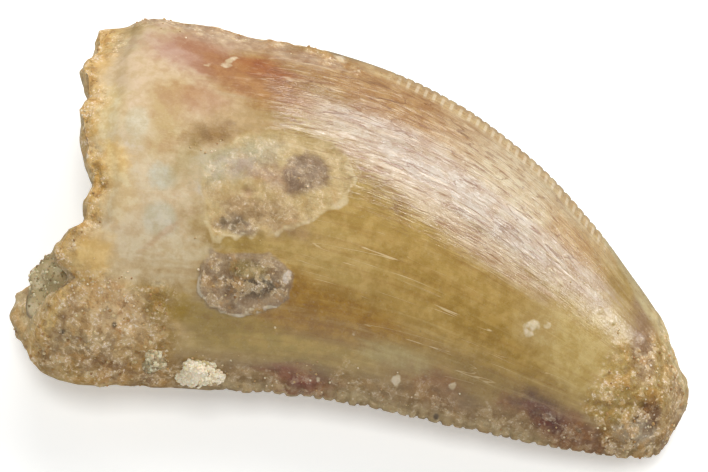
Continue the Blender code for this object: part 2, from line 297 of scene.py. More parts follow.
def inside_oval(points, x, y, length, width, turn=0):
    """The same for an oval of these half sizes, turned anticlockwise by degrees."""
    angle = math.radians(turn)
    right, up = points[..., 0] - x, points[..., 1] - y
    u = (right * math.cos(angle) + up * math.sin(angle)) / length
    w = (up * math.cos(angle) - right * math.sin(angle)) / width
    return (1 - np.hypot(u, w)) * min(length, width)


def inside_any(points, ovals):
    return np.max([inside_oval(points, *oval) for oval in ovals], axis=0)


def edge_shares(count):
    even = np.arange(count + 1) / count
    return 0.45 * even + 0.55 * (0.5 - 0.5 * np.cos(np.pi * even))


def ring():
    """v and side of each point round the tooth: front edge, upper side, rear edge, lower side."""
    upper, lower = edge_shares(UPPER_COLUMNS), edge_shares(LOWER_COLUMNS)[1:-1][::-1]
    v = np.concatenate([upper, lower])
    side = np.concatenate([np.ones(len(upper)), -np.ones(len(lower))])
    side[0] = side[UPPER_COLUMNS] = 0
    return v, side


def cavity_surface(v, side, inset, deep):
    """From the broken rim, inset 0, over the wall's break to the mouth, inset 1, and on down, deep to 1."""
    at = v + (0.15 + 0.73 * v - v) * inset
    fullness = (4 * v * (1 - v)) ** 0.4
    upper, lower = plain_surface(0, at, 1), plain_surface(0, at, -1)
    half = np.maximum((upper[..., 2] - lower[..., 2]) / 2 - CAVITY_WALL * inset, 0.12)
    if inset == 0:
        half, fullness = (upper[..., 2] - lower[..., 2]) / 2, np.ones_like(v)
    shrink = 1 - 0.3 * deep
    own = np.where(side[..., None] > 0, upper, lower)
    middle_x = (upper[..., 0] + lower[..., 0]) / 2
    x = middle_x + (own[..., 0] - middle_x) * np.where(side != 0, fullness, 0)
    at_shrunk = 0.5 + (at - 0.5) * shrink
    y = on_edge(FRONT, 0)[1] * (1 - at_shrunk) + on_edge(REAR, 0)[1] * at_shrunk
    z = (upper[..., 2] + lower[..., 2]) / 2 + side * half * fullness * shrink
    return np.stack([x + (CAVITY_END - x) * deep, y, z], -1)


def grid_normals(grid):
    """Outward normals of rows of points that close into rings."""
    across = np.roll(grid, -1, axis=1) - np.roll(grid, 1, axis=1)
    along = np.gradient(grid, axis=0)
    normal = np.cross(across, along)
    return normal / np.maximum(np.linalg.norm(normal, axis=-1, keepdims=True), 1e-9)


def in_scene(name, data):
    piece = bpy.data.objects.new(name, data)
    bpy.context.scene.collection.objects.link(piece)
    return piece


def mesh_object(name, points, faces, material):
    mesh = bpy.data.meshes.new(name)
    mesh.from_pydata((points * MM).tolist(), [], faces)
    mesh.validate()
    mesh.shade_smooth()
    mesh.materials.append(material)
    return in_scene(name, mesh)


def ring_faces(rows, columns):
    """Quads between rings of points, in rows, and a fan of triangles closing each end on one more point."""
    row, column = np.meshgrid(np.arange(rows - 1), np.arange(columns), indexing="ij")
    beside = (column + 1) % columns
    low, high = row * columns, (row + 1) * columns
    quads = np.stack([low + column, low + beside, high + beside, high + column], -1).reshape(-1, 4)
    first, last = rows * columns, rows * columns + 1
    faces = quads.tolist()
    for k in range(columns):
        following = (k + 1) % columns
        faces.append([first, following, k])
        faces.append([last, (rows - 1) * columns + k, (rows - 1) * columns + following])
    return faces


def store(piece, name, values):
    """Keeps a value or a vector at each point of a piece."""
    kind, part = (("FLOAT", "value"), ("FLOAT_VECTOR", "vector"))[np.ndim(values) - 1]
    made = piece.data.attributes.new(name, kind, "POINT")
    made.data.foreach_set(part, np.ravel(values).astype(np.float32))


# Stains on the tooth, in the order they lie on each other; a few of them are painted light, marked where they
# stand. Each has the side it is on (0 is both), its place, two colours it wavers between, how soft its border
# is and how far that wanders in mm, and how much of it covers. A place is an oval (x, y, half length, half
# width, degrees) or a field in build_tooth.
STAINS = {
    "amber": (1, (3.6, -0.5, 4.2, 1.5, -14), "#A98841", "#BB9A56", 0.8, 0.5, 0.8),
    "amber_left": (1, (0.6, -0.9, 1.7, 1.0, 0), "#B19453", "#C1A366", 0.5, 0.4, 0.75),
    "amber_dark": (1, (5.6, -1.2, 2.2, 0.45, -16), "#927129", "#A7853A", 0.35, 0.35, 0.7),
    "tan_flank": (1, (1.6, 4.2, 4.6, 1.15, -8), "#A27648", "#B28B5A", 0.6, 0.5, 0.9),
    "tan_front": (1, (5.6, 2.9, 2.6, 1.2, -34), "#C7B18E", "#D4C5A6", 0.7, 0.5, 0.85),
    "pink_front": (1, (7.3, 1.8, 1.2, 0.8, -40), "#B08A58", "#BE9B68", 0.5, 0.4, 0.8),
    # These two pale bands are painted highlight: pale colour laid where the softbox's highlight falls on the
    # upper flank
    "band": (1, (3.4, 2.2, 4.6, 0.75, -17), "#BAA390", "#CBBEB1", 0.5, 0.4, 0.8),
    "band_foot": (1, (3.8, 1.2, 3.6, 0.35, -19), "#B99976", "#CCB494", 0.25, 0.3, 0.75),
    "chalk": (1, (-5.0, 0.6, 2.6, 4.3, 4), "#C6AE8A", "#D0BE9E", 0.9, 0.7, 0.95),
    "chalk_top": (1, (-5.6, 2.2, 1.4, 1.4, 0), "#C0A47B", "#CCB290", 0.5, 0.5, 0.8),
    "chalk_tan": (1, (-4.5, 1.6, 0.6, 1.3, 8), "#AB8852", "#B19459", 0.4, 0.4, 0.85),
    "chalk_blue": (1, (-5.27, 1.02, 0.34, 0.52, 20), "#BFB08F", "#CDC3A8", 0.12, 0.14, 0.85),
    "chalk_blue_2": (1, (-4.14, -0.24, 0.42, 0.4, 10), "#BCB49C", "#C5C3B2", 0.14, 0.16, 0.85),
    "chalk_blue_3": (1, (-3.77, -1.33, 0.5, 0.5, 40), "#B6AD91", "#C4BBA5", 0.16, 0.16, 0.85),
    "chalk_blue_4": (1, (-2.65, -0.04, 0.45, 0.3, 30), "#C0B9A3", "#CFCCBF", 0.12, 0.14, 0.8),
    "chalk_ochre": (1, (-6.21, 1.16, 0.45, 1.2, 8), "#D0B881", "#DED0A2", 0.25, 0.3, 0.7),
    "chalk_ochre_2": (1, (-5.58, -0.42, 0.5, 0.7, 8), "#D9B26C", "#ECD091", 0.2, 0.3, 0.75),
    "peach": (1, (-3.8, 2.31, 0.8, 0.5, 0), "#A3744D", "#AD8159", 0.3, 0.3, 0.7),
    "chalk_low": (1, (-3.16, -2.38, 1.3, 0.6, 10), "#C2AC85", "#CFC09F", 0.5, 0.5, 0.8),
    "pink_top": (1, (-4.5, 3.7, 1.5, 0.7, 0), "#A97C69", "#B28B78", 0.4, 0.4, 0.85),
    "rose_top": (1, (-4.6, 4.1, 0.8, 0.3, -4), "#9A6846", "#A0704D", 0.2, 0.25, 0.8),
    "red_wash": (1, (-2.6, 3.5, 1.6, 0.8, 0), "#925E30", "#A26F38", 0.4, 0.4, 0.85),
    "red_top": (1, (-2.5, 4.0, 0.75, 0.28, -4), "#8D4D29", "#9B5B2E", 0.2, 0.25, 0.8),
    "top_crust": (1, (-4.2, 4.75, 3.0, 0.45, 2), "#A18268", "#BCA084", 0.2, 0.3, 0.8),
    "olive_halo": (1, (-2.7, 1.75, 1.5, 0.65, 28), "#A2834F", "#B29362", 0.3, 0.3, 0.85),
    "shadow_patch": (1, (-3.2, 1.4, 0.65, 0.3, 32), "#734D15", "#855F20", 0.25, 0.2, 0.85),
    "olive_left": (1, (-3.7, 0.3, 0.3, 0.8, -20), "#9A844C", "#A38D59", 0.3, 0.3, 0.7),
    "chalk_yellow": (1, (-5.15, 0.42, 0.28, 0.16, 0), "#BEAC85", "#C9B9A5", 0.12, 0.15, 0.7),
    "chalk_rose": (1, (-5.1, -1.2, 0.7, 0.6, 60), "#C8AD7D", "#D5C298", 0.3, 0.35, 0.7),
    "chalk_line": (1, (-3.35, -1.38, 0.95, 0.06, 55), "#B2906E", "#C0A07F", 0.06, 0.08, 0.6),
    "dark_middle": (1, (0.4, -2.3, 3.2, 0.75, 3), "#8F6415", "#A3781F", 0.4, 0.4, 0.85),
    "olive_low": (1, (-1.2, -3.5, 2.2, 0.4, 2), "#8F721C", "#9E8125", 0.3, 0.3, 0.8),
    "green_streak": (1, (1.0, -3.3, 1.7, 0.28, 4), "#A48A3F", "#B4954A", 0.25, 0.25, 0.8),
    "green_streak_2": (1, (3.7, -2.75, 1.1, 0.32, 0), "#A9945B", "#B4A168", 0.15, 0.2, 0.85),
    "olive_end": (1, (6.4, -2.6, 1.6, 0.55, -4), "#85671E", "#907027", 0.4, 0.35, 0.75),
    "red_low": (1, (4.7, -3.15, 1.0, 0.4, -6), "#79450F", "#895215", 0.3, 0.3, 0.75),
    "yellow_end": (1, (8.4, -0.9, 1.5, 1.1, -20), "#B59958", "#C4AC71", 0.5, 0.4, 0.8),
    "pale_end": (1, (7.0, -0.75, 0.55, 0.6, 20), "#AB8E58", "#B79F6B", 0.4, 0.35, 0.7),
    "front_margin": (0, "front_band", "#B99660", "#CDAF7A", 0.12, 0.1, 0.7),
    "rear_margin": (0, "rear_band", "#7A5C34", "#8E7048", 0.3, 0.3, 0.7),
    "rear_beads": (0, "bead_band", "#9C865A", "#B29C70", 0.08, 0.12, 0.65),
    "brown_end": (1, (8.7, -3.0, 1.6, 0.4, -6), "#6B390D", "#7E470D", 0.25, 0.3, 0.85),
    "brown_end_2": (1, (7.8, -2.75, 0.65, 0.4, -20), "#48120D", "#5C1A0D", 0.2, 0.2, 0.8),
    "scar": (1, "scar_line", "#B79E6C", "#C5AE80", 0.08, 0.06, 0.9),
    "scar_white": (1, (-2.35, 0.9, 1.1, 0.6, 38), "#AFA482", "#B8AC92", 0.3, 0.35, 0.9),
    "scar_pink": (1, (-1.4, 0.75, 0.9, 0.3, 0), "#957264", "#A08176", 0.25, 0.25, 0.7),
    "scar_tan": (1, (-1.3, -0.25, 1.3, 0.4, 0), "#947754", "#A38460", 0.25, 0.3, 0.75),
    "scar_grey": (1, (-0.4, 1.15, 0.55, 0.62, -20), "#745D4A", "#8C7560", 0.15, 0.25, 0.85),
    "scar_streaks": (1, (-1.7, -0.85, 0.6, 0.2, 4), "#695948", "#84705D", 0.12, 0.2, 0.8),
    "scar_pit": (1, (-1.75, 0.2, 0.2, 0.14, 0), "#8C6848", "#9E7B5C", 0.1, 0.1, 0.8),
    # Painted highlight: a pale rim on the scar's lower and right wall, where the light from above catches it
    "scar_edge": (1, "scar_lit_rim", "#CDBB92", "#D8C9A6", 0.04, 0.05, 0.55),
    "plate": (1, "plate_line", "#8A7358", "#9C866C", 0.06, 0.05, 0.9),
    "plate_purple": (1, (-0.85, -2.25, 0.75, 0.3, 18), "#5B4B3A", "#5F5443", 0.12, 0.12, 0.9),
    "plate_green": (1, (-1.1, -1.85, 0.55, 0.2, 10), "#917E49", "#9E8A5A", 0.1, 0.1, 0.8),
    "plate_edge": (1, "plate_rim", "#CFC0A0", "#E6DCC6", 0.025, 0.03, 0.75),
    # Painted shadow: a darker, redder strip along the foot of the plate's raised lower rim
    "under_plate": (1, (-1.1, -3.3, 0.9, 0.1, 6), "#8A631F", "#987B2C", 0.1, 0.08, 0.7),
    "white_chip": (1, (0.0, -1.75, 0.09, 0.22, 0), "#CFC1AF", "#DACEBF", 0.03, 0.09, 0.9),
    "red_rear": (1, (1.1, -4.15, 0.85, 0.26, 6), "#6A130D", "#7D1C0D", 0.2, 0.2, 0.85),
    "crust_rear": (1, (-4.7, -4.7, 2.0, 1.3, 6), "#B08E5D", "#CCAB78", 0.5, 0.5, 0.85),
    "pink_crust": (1, (-4.5, -3.9, 1.3, 0.6, -20), "#C9A06F", "#DABC8D", 0.3, 0.3, 0.75),
    "crust_olive": (1, (-4.71, -5.24, 1.2, 0.45, 10), "#9B8560", "#AB976F", 0.25, 0.3, 0.7),
    "lobe_cream": (1, (-6.5, -4.71, 0.4, 0.8, 0), "#D3BD89", "#E1CE9F", 0.2, 0.2, 0.7),
    "lobe_brown": (1, (-5.97, -5.71, 0.35, 0.2, -30), "#755431", "#86633C", 0.12, 0.15, 0.7),
    "ridge_cream": (1, (-5.86, -4.27, 1.2, 0.16, 77), "#E8C985", "#F3DF9D", 0.1, 0.15, 0.7),
    "rust_rear": (1, (-4.2, -5.35, 1.1, 0.25, 4), "#7F5423", "#956D34", 0.2, 0.25, 0.8),
    "ochre_rear": (1, (-5.3, -3.0, 0.7, 0.6, 60), "#D2AC66", "#E1BF7C", 0.3, 0.3, 0.8),
    "chips": (1, "chips", "#CDBB94", "#E6D8BC", 0.03, 0.03, 0.7),
    "dots": (1, "dots", "#2E2418", "#3A2D1E", 0.03, 0.01, 0.85),
    "amber_under": (-1, (1.5, 0, 8, 3.6, -10), "#9A7C46", "#B09259", 1.2, 0.9, 0.8),
    "chalk_under": (-1, (-5.4, -0.6, 2.9, 4.6, 4), "#BEA67C", "#CDB890", 0.9, 0.8, 0.9),
    "brown_under": (-1, (3.8, 2.3, 3.4, 1.0, -18), "#84643C", "#94744A", 0.6, 0.6, 0.75),
    "red_under": (-1, (-1.6, 3.6, 1.5, 0.7, 0), "#9C684A", "#A9775A", 0.4, 0.4, 0.7),
    "grey_under": (-1, (-0.8, -1.6, 1.4, 0.8, 15), "#94845F", "#A3946E", 0.3, 0.4, 0.8),
    "tip": (0, "tip_share", "#94764F", "#AC9068", 0.7, 0.7, 0.85),
    "tip_purple": (1, (9.95, 0.05, 0.35, 1.0, 18), "#81614A", "#8F725B", 0.3, 0.3, 0.8),
    "tip_brown": (1, (10.7, -1.9, 0.3, 0.5, 0), "#43180D", "#58240D", 0.15, 0.25, 0.8),
    "tip_white": (1, (10.45, -2.6, 0.5, 0.25, 10), "#96856D", "#B1A289", 0.15, 0.3, 0.8),
    "pale_strip": (0, "front_strip", "#B39F70", "#C3B284", 0.12, 0.12, 0.85),
    "ochre_rim": (0, "rim_share", "#C79E56", "#D6B270", 0.35, 0.4, 0.85),
    "broken_wall": (0, "wall_share", "#B59C6C", "#C4AE82", 0.2, 0.3, 0.9),
}
# The stains that streaks along the growth break up; patches break up the others
STREAKED = {
    "amber_dark", "tan_flank", "tan_front", "band", "band_foot", "red_wash", "red_top", "dark_middle",
    "olive_low", "green_streak", "green_streak_2", "olive_end", "front_margin", "rear_margin", "red_rear",
    "amber_under", "brown_under", "red_under",
}
# The patterns in the enamel: over the object or along the growth and across it, repeats to the millimetre
# each way, detail, roughness and warp
PATTERNS = {
    "patch": ("object", (1.1, 1.1, 1.1), 5, 0.62, 0),
    "cloud": ("object", (2.7, 2.7, 2.7), 4, 0.6, 0),
    "streak": ("growth", (0.35, 2.2, 1), 5, 0.6, 0),
    "hair": ("growth", (1.1, 9, 1), 4, 0.65, 0.8),
    "grit": ("object", (9, 9, 9), 3, 0.65, 0),
    "lump": ("object", (3.1, 3.1, 3.1), 4, 0.6, 0.4),
    "mottle": ("object", (6, 6, 6), 5, 0.7, 0),
    "vein": ("growth", (0.22, 4.2, 1), 5, 0.6, 0.2),
    "earth": ("object", (1.7, 1.7, 1.7), 4, 0.6, 0.5),
    "crystal": ("object", (12, 12, 12), 3, 0.75, 0.6),
    "speck": ("object", (19, 19, 19), 2, 0.7, 0),
    "crack": ("growth", (0.12, 1.5, 1), 3, 0.5, 0.5),
    "break": ("growth", (0.7, 1.6, 1), 3, 0.55, 0),
    "line": ("growth", (0.3, 1.4, 3), 3, 0.55, 0.3),
}


def enamel_material():
    """Fossil enamel over dentine, stained by the ground and rubbed smooth: glossy where enamel is left,
    with fine lines along the growth; dull and chalky where it flaked off; gritty at the break and tip."""
    material, tree, shader = new_material("Fossil enamel, ground-stained and worn", {
        "Subsurface Weight": 0.15, "Subsurface Scale": 0.0003, "Subsurface Radius": (1.0, 0.6, 0.3),
        "IOR": 1.5, "Specular IOR Level": 0.25, "Coat Roughness": 0.2, "Coat IOR": 1.65,
    })
    node = functools.partial(add, tree)
    millimetres = node("scaled", node("object place"), (1 / MM, 1 / MM, 1 / MM))
    ways = {"object": millimetres, "growth": node("growth map")}
    pattern = {
        name: node("noise", node("scaled", ways[way], stretch), 1, detail, rough, warp)
        for name, (way, stretch, detail, rough, warp) in PATTERNS.items()
    }
    colour = node("mix", node("spread", pattern["patch"], 0.35, 0.65), linear("#97793A"), linear("#AD9250"))
    colour = node("mix", node("spread", pattern["cloud"], 0.4, 0.7, 0, 0.5), colour, linear("#BCA160"))
    colour = node("mix", node("spread", pattern["streak"], 0.55, 0.35, 0, 0.5), colour, linear("#8F6E36"))
    waver = node("spread", pattern["cloud"], 0.38, 0.62)
    for name, (_, _, first, second, soft, wander, most) in STAINS.items():
        depth = node("field", attribute_name=name)
        broken_up = pattern["streak" if name in STREAKED else "patch"]
        inside = node("multiply_add", broken_up, 4 * wander, node("subtract", depth, 2 * wander))
        shade = node("mix", waver, linear(first), linear(second))
        colour = node("mix", node("spread", inside, -soft, soft, 0, most), colour, shade)

    crusty, chalky, lined, cracked, phase, edge_gap, standing, rearward = (
        node("field", attribute_name=name)
        for name in ("crusty", "chalky", "lined", "cracked", "phase", "edge_gap", "standing", "rearward")
    )
    dull = node("maximum", crusty, chalky)
    glossy = node("subtract", 1.0, dull, use_clamp=True)
    cells = node("cells", millimetres, 8.5)
    tones = node("colour parts", cells.node.outputs["Color"]).node.outputs
    grainy = node("multiply", crusty, node("spread", pattern["patch"], 0.4, 0.6, 0.25, 1))
    specks = node("multiply", node("spread", tones[2], 0.86, 0.9), node("multiply_add", grainy, 0.7, 0.05))
    worn = node("multiply_add", crusty, 0.4, 0.14)
    clusters = node("multiply", node("spread", pattern["lump"], 0.49, 0.57), node("multiply", crusty, 0.8))
    sandy = node("multiply_add", crusty, 0.3, 0.1)
    broken = node("multiply", node("spread", pattern["break"], 0.47, 0.57), cracked)
    from_crack = node("absolute", node("subtract", pattern["crack"], 0.5))
    from_line = node("absolute", node("subtract", pattern["line"], 0.5))
    # Painted highlight: the denticle crests near each edge are whitened as glints, strongly on the front
    # edge, hardly on the rear
    swing = node("absolute", node("subtract", node("fract", phase), 0.5))
    reach = node("multiply", node("spread", edge_gap, 0.52, 0.34), node("spread", edge_gap, 0.08, 0.2))
    glint_whiteness = node("multiply_add", rearward, -0.38, 0.42)
    painted_crest_glints = node("multiply", glint_whiteness, node("multiply", reach, standing))
    # Each lies over the last: a pattern, its value where it starts and where it is full, how much it covers
    # there, what limits it, its colour, and whether it darkens what is under it or hides it
    for value, start, full, most, limit, shade, kind in (
        (pattern["lump"], 0.5, 0.58, 0.6, crusty, "#E2C696", "mix"),
        (pattern["lump"], 0.46, 0.36, 0.5, crusty, "#74502E", "mix"),
        (tones[0], 0.6, 0.8, 0.2, grainy, "#D9C59C", "mix"),
        (tones[1], 0.75, 0.9, 0.18, grainy, "#6E5030", "mix"),
        (cells, 0.34, 0.2, 1, specks, "#F0E8D6", "mix"),
        (pattern["mottle"], 0.5, 0.3, 1, worn, "#DEC398", "darken"),
        (pattern["mottle"], 0.52, 0.7, 0.5, worn, "#EADBB8", "mix"),
        (pattern["vein"], 0.5, 0.35, 0.22, glossy, "#C99F66", "darken"),
        (pattern["vein"], 0.56, 0.7, 0.16, glossy, "#E0C88C", "mix"),
        (pattern["earth"], 0.53, 0.61, 0.42, crusty, "#C3924C", "mix"),
        (pattern["earth"], 0.46, 0.37, 0.28, crusty, "#977C64", "mix"),
        (pattern["crystal"], 0.53, 0.61, 1, clusters, "#F6E6D2", "mix"),
        (pattern["speck"], 0.5, 0.34, 0.4, sandy, "#CDB48E", "darken"),
        (pattern["speck"], 0.56, 0.7, 0.4, sandy, "#F2E6CC", "mix"),
        (pattern["hair"], 0.47, 0.33, 0.75, lined, "#8A5C38", "mix"),
        (pattern["hair"], 0.54, 0.68, 0.5, lined, "#E8D3B4", "mix"),
        (from_crack, 0.018, 0.0054, 0.3, broken, "#8E6A2C", "mix"),
        (from_crack, 0.006, 0.0018, 0.6, broken, "#E6CFA0", "mix"),
        (from_line, 0.012, 0.0036, 0.55, lined, "#7C5230", "mix"),
        # painted highlight: whitened glints on the denticle crests
        (swing, 0.24, 0.1, 1, painted_crest_glints, "#E9DCC2", "mix"),
    ):
        cover = node("multiply", node("spread", value, start, full, 0, most), limit)
        colour = node(kind, cover, colour, linear(shade))
    rough = node("multiply_add", dull, 0.3, node("spread", pattern["grit"], 0.3, 0.7, 0.26, 0.36))
    fine = node("multiply", pattern["hair"], node("multiply_add", lined, 0.9, 0.2))
    height = node("add", fine, node("multiply", pattern["grit"], node("multiply_add", crusty, 1.2, 0.3)))
    height = node("multiply_add", cells, node("multiply", crusty, -0.5), height)
    bump = node("bump", 1, 0.03 * MM, height)
    coat = node("spread", dull, 0.0, 0.7, 1.0, 0.15)
    led = {"Base Color": colour, "Coat Weight": coat, "Roughness": rough, "Normal": bump, "Coat Normal": bump}
    for socket, value in led.items():
        tree.links.new(value, shader.inputs[socket])
    return material


def rock_material(name, tones, grain_size):
    """Cemented sand: dull, each grain a shade of its own, dust between them."""
    material, tree, shader = new_material(
        name, {"Roughness": 0.55, "Subsurface Weight": 0.2, "Subsurface Scale": 0.0002}
    )
    dust = add(tree, "noise", add(tree, "object place"), 2500 / grain_size, 4)
    ramp = add(tree, "ramp", add(tree, "field", attribute_name="tone"))
    stops = ramp.node.color_ramp.elements
    for k, (share, colour) in enumerate(tones):
        stop = stops[k] if k < 2 else stops.new(share)
        stop.position = share
        stop.color = linear(colour)
    dusty = add(tree, "even spread", dust, 0.35, 0.7, 0.0, 0.5)
    colour = add(tree, "darken", dusty, ramp, linear("#DECBAC"))
    tree.links.new(colour, shader.inputs["Base Color"])
    tree.links.new(add(tree, "bump", 0.6, grain_size * MM * 0.2, dust), shader.inputs["Normal"])
    return material


def outlines(points):
    """How far inside the scar and the plate each point lies, their borders made ragged."""
    wander = 0.16 * grain(points, 0.6, 5) + 0.1 * grain(points, 0.2, 6)
    return inside_outline(points, SCAR) + wander, inside_outline(points, PLATE) + wander


def crust_share(points, t, v, side):
    """Where grit is baked on and the surface is rough: the break, the tip, rear corner and margins."""
    depth = np.linalg.norm(on_edge(FRONT, t) - on_edge(REAR, t), axis=-1)
    wander = 0.35 * grain(points, 1.1, 13) + 0.2 * grain(points, 0.45, 14)
    corner = inside_oval(points, -4.9, -4.6, 2.6, 1.6, 4) + wander
    top = inside_oval(points, -4.6, 4.9, 3.2, 0.6, 2) + wander
    end = inside_oval(points, 11.0, -1.5, 1.7, 2.4, 0) + wander
    shares = [
        ease(0.9, 0.1, t * 20 + wander),
        ease(0.915, 0.97, t + wander * 0.04) * 0.8,
        ease(-0.4, 0.3, end) * 0.8,
        ease(-0.3, 0.3, corner) * 0.9,
        ease(-0.2, 0.2, top) * 0.7,
        ease(0.9, 0.3, (1 - v) * depth + wander) * 0.35,
    ]
    scar, plate = outlines(points)
    upper = side >= 0
    shares.append(np.where(upper, ease(0, 0.15, scar) * (0.35 + 0.3 * grain(points, 0.8, 15)), 0))
    shares.append(np.where(upper, ease(0, 0.1, plate) * (0.45 + 0.4 * grain(points, 0.7, 16)), 0))
    return np.clip(np.max(shares, axis=0), 0, 1)


def tooth_relief(points, t, v, side, crust):
    """How far the worn surface stands off the even one, in millimetres."""
    raised = 0.045 * grain(points, 2.6) + 0.012 * grain(points, 0.7, 1)
    lumps = 0.085 * grain(points, 0.75, 2) + 0.075 * grain(points, 0.34, 3) + 0.03 * grain(points, 0.17, 4)
    pits = ease(0.35, 0.8, grain(points, 0.42, 17)) * 0.05
    raised += crust * (lumps - pits)
    scar, plate = outlines(points)
    inner = ease(0, 0.28, scar)
    hollow = -0.07 * inner + 0.015 * ease(-0.1, 0, scar) * ease(0.08, 0, scar)
    hollow += inner * (0.03 * grain(points, 0.45, 7) + 0.02 * grain(points, 0.2, 8))
    pit = inside_oval(points, -1.75, 0.2, 0.24, 0.2) + 0.05 * grain(points, 0.2, 18)
    hollow -= 0.09 * ease(0, 0.12, pit)
    flat = ease(0, 0.1, plate)
    rim = ease(0, 0.06, plate) * ease(0.24, 0.1, plate)
    rim = rim * ease(-2.0, -2.5, points[..., 1])
    hollow += 0.03 * ease(0, 0.06, inside_any(points, CHIPS)) + 0.07 * flat + 0.05 * rim
    hollow += flat * (0.02 * grain(points, 0.35, 9) + 0.012 * grain(points, 0.16, 10))
    return raised + np.where(side > 0, hollow, 0)


def build_tooth(material):
    v, side = ring()
    columns = len(v)
    rings, depths = [], []
    for deep in (1, 0.7, 0.4, 0.2, 0.08):
        rings.append(cavity_surface(v, side, 1, deep))
        depths.append(-1.0 - deep)
    insets = np.linspace(1, 0, 15)[:-1]
    for inset in insets:
        surface = cavity_surface(v, side, inset, 0)
        surface[:, 0] -= 0.16 * math.sin(math.pi * min(inset * 1.2, 1))
        rings.append(surface)
        depths.append(-inset)
    t = np.arange(ROWS) / ROWS
    body = plain_surface(t[:, None], v[None, :], side[None, :])
    grid = np.concatenate([np.array(rings), body])
    row_t = np.concatenate([depths, t])
    shares_t = np.repeat(row_t[:, None], columns, 1)
    shares_v = np.repeat(v[None, :], len(row_t), 0)
    sides = np.repeat(side[None, :], len(row_t), 0)
    normal = grid_normals(grid)
    on_body = np.clip(shares_t, 0, 1)
    crust = crust_share(grid, on_body, shares_v, sides)
    raised = tooth_relief(grid, on_body, shares_v, sides, crust)
    grid = grid + normal * raised[..., None]
    grid[..., 2] = np.maximum(grid[..., 2], 0)
    centre = grid[0].mean(0)
    tip = plain_surface(1, 0.5, 0)
    points = np.vstack([grid.reshape(-1, 3), centre, tip])
    piece = mesh_object("tooth_surface", points, ring_faces(len(row_t), columns), material)

    def per_point(values, at_centre=0.0, at_tip=0.0):
        return np.concatenate([np.ravel(values), [at_centre, at_tip]])

    depth = np.linalg.norm(on_edge(FRONT, on_body) - on_edge(REAR, on_body), axis=-1)
    to_front, to_rear = shares_v * depth, (1 - shares_v) * depth
    scar, plate = outlines(grid)
    strip_width = 0.22 + 0.35 * ease(0.76, 0.88, on_body)
    low_side = ease(-1.9, -2.4, grid[..., 1])
    # the scar's lower and right side, where its wall faces the light; the pale rim kept to it is a painted
    # highlight
    shown = np.maximum(ease(-1.2, -0.6, grid[..., 0]), ease(-0.7, -1.0, grid[..., 1]))
    bare_ends = ease(0.25, 0.1, on_body) + ease(0.93, 0.97, on_body)
    fields = {
        "rear_band": 0.75 - to_rear - 3 * ease(0.2, 0.05, on_body),
        "front_band": np.minimum(0.42 - to_front, np.minimum(on_body - 0.36, 0.78 - on_body) * 20),
        "bead_band": 0.25 - to_rear - 3 * bare_ends,
        "tip_share": (on_body - 0.915) * 20,
        "front_strip": np.minimum(strip_width - to_front, np.minimum(on_body - 0.75, 0.985 - on_body) * 20),
        "rim_share": np.where(shares_v < 0.72, 0.55, 0.3) - on_body * 20,
        "wall_share": np.where(shares_t < 0, -shares_t * 2 - 0.3, -3),
        "scar_line": scar, "plate_line": plate,
        # painted highlight on the scar's lit wall
        "scar_lit_rim": 0.05 - np.abs(scar - 0.03) - (1 - shown),
        "chips": inside_any(grid, CHIPS) + 0.06 * grain(grid, 0.1, 24),
        "dots": inside_any(grid, DOTS),
        "plate_rim": 0.035 - np.abs(plate - 0.035) - (1 - low_side) - 0.05 * (grain(grid, 0.3, 26) > 0.25),
    }
    for name, (on_side, where, *_) in STAINS.items():
        values = fields[where] if isinstance(where, str) else inside_oval(grid, *where)
        if on_side:
            values = np.where(sides * on_side > 0, values, -3)
        store(piece, name, per_point(values, -3, -3 if name != "tip" else 2))
    store(piece, "crusty", per_point(np.where(shares_t < 0, 0.8, crust), 1, 1))
    chalky = ease(-1.0, 0.3, inside_oval(grid, -5.0, 0.6, 3.0, 5.5, 4) + 0.5 * grain(grid, 0.9, 19))
    chalky = np.maximum(chalky, ease(-0.1, 0.1, scar) * 0.7 * (sides > 0))
    store(piece, "chalky", per_point(chalky, 1, 0))
    lined = ease(-0.6, 0.6, inside_oval(grid, 2.7, 2.7, 5.6, 1.9, -14)) * (1 - crust)
    cracked = ease(-0.8, 0.6, inside_oval(grid, 3.4, -0.9, 4.2, 1.5, -12)) * (1 - crust)
    store(piece, "lined", per_point(lined * (sides > 0) + 0.3 * (sides < 0)))
    store(piece, "cracked", per_point(cracked * (sides > 0)))
    sugary = ease(-0.1, 0.25, inside_any(grid, SUGARY) + 0.25 * grain(grid, 0.5, 25)) * (sides > 0)
    sugary = sugary * ease(-0.1, 0.5, grain(grid, 0.4, 27))
    margin = ease(1.0, 0.5, to_rear) * (to_rear > 0.12) * (on_body > 0.04) * (sides >= 0)
    sugary = np.maximum(sugary, 0.3 * margin)
    store(piece, "sugary", per_point(sugary * (shares_t >= 0)))
    gritty = ease(0.45, 0.9, crust) * (grid[..., 2] > 0.2) * (shares_t >= 0)
    store(piece, "gritty", per_point(gritty))

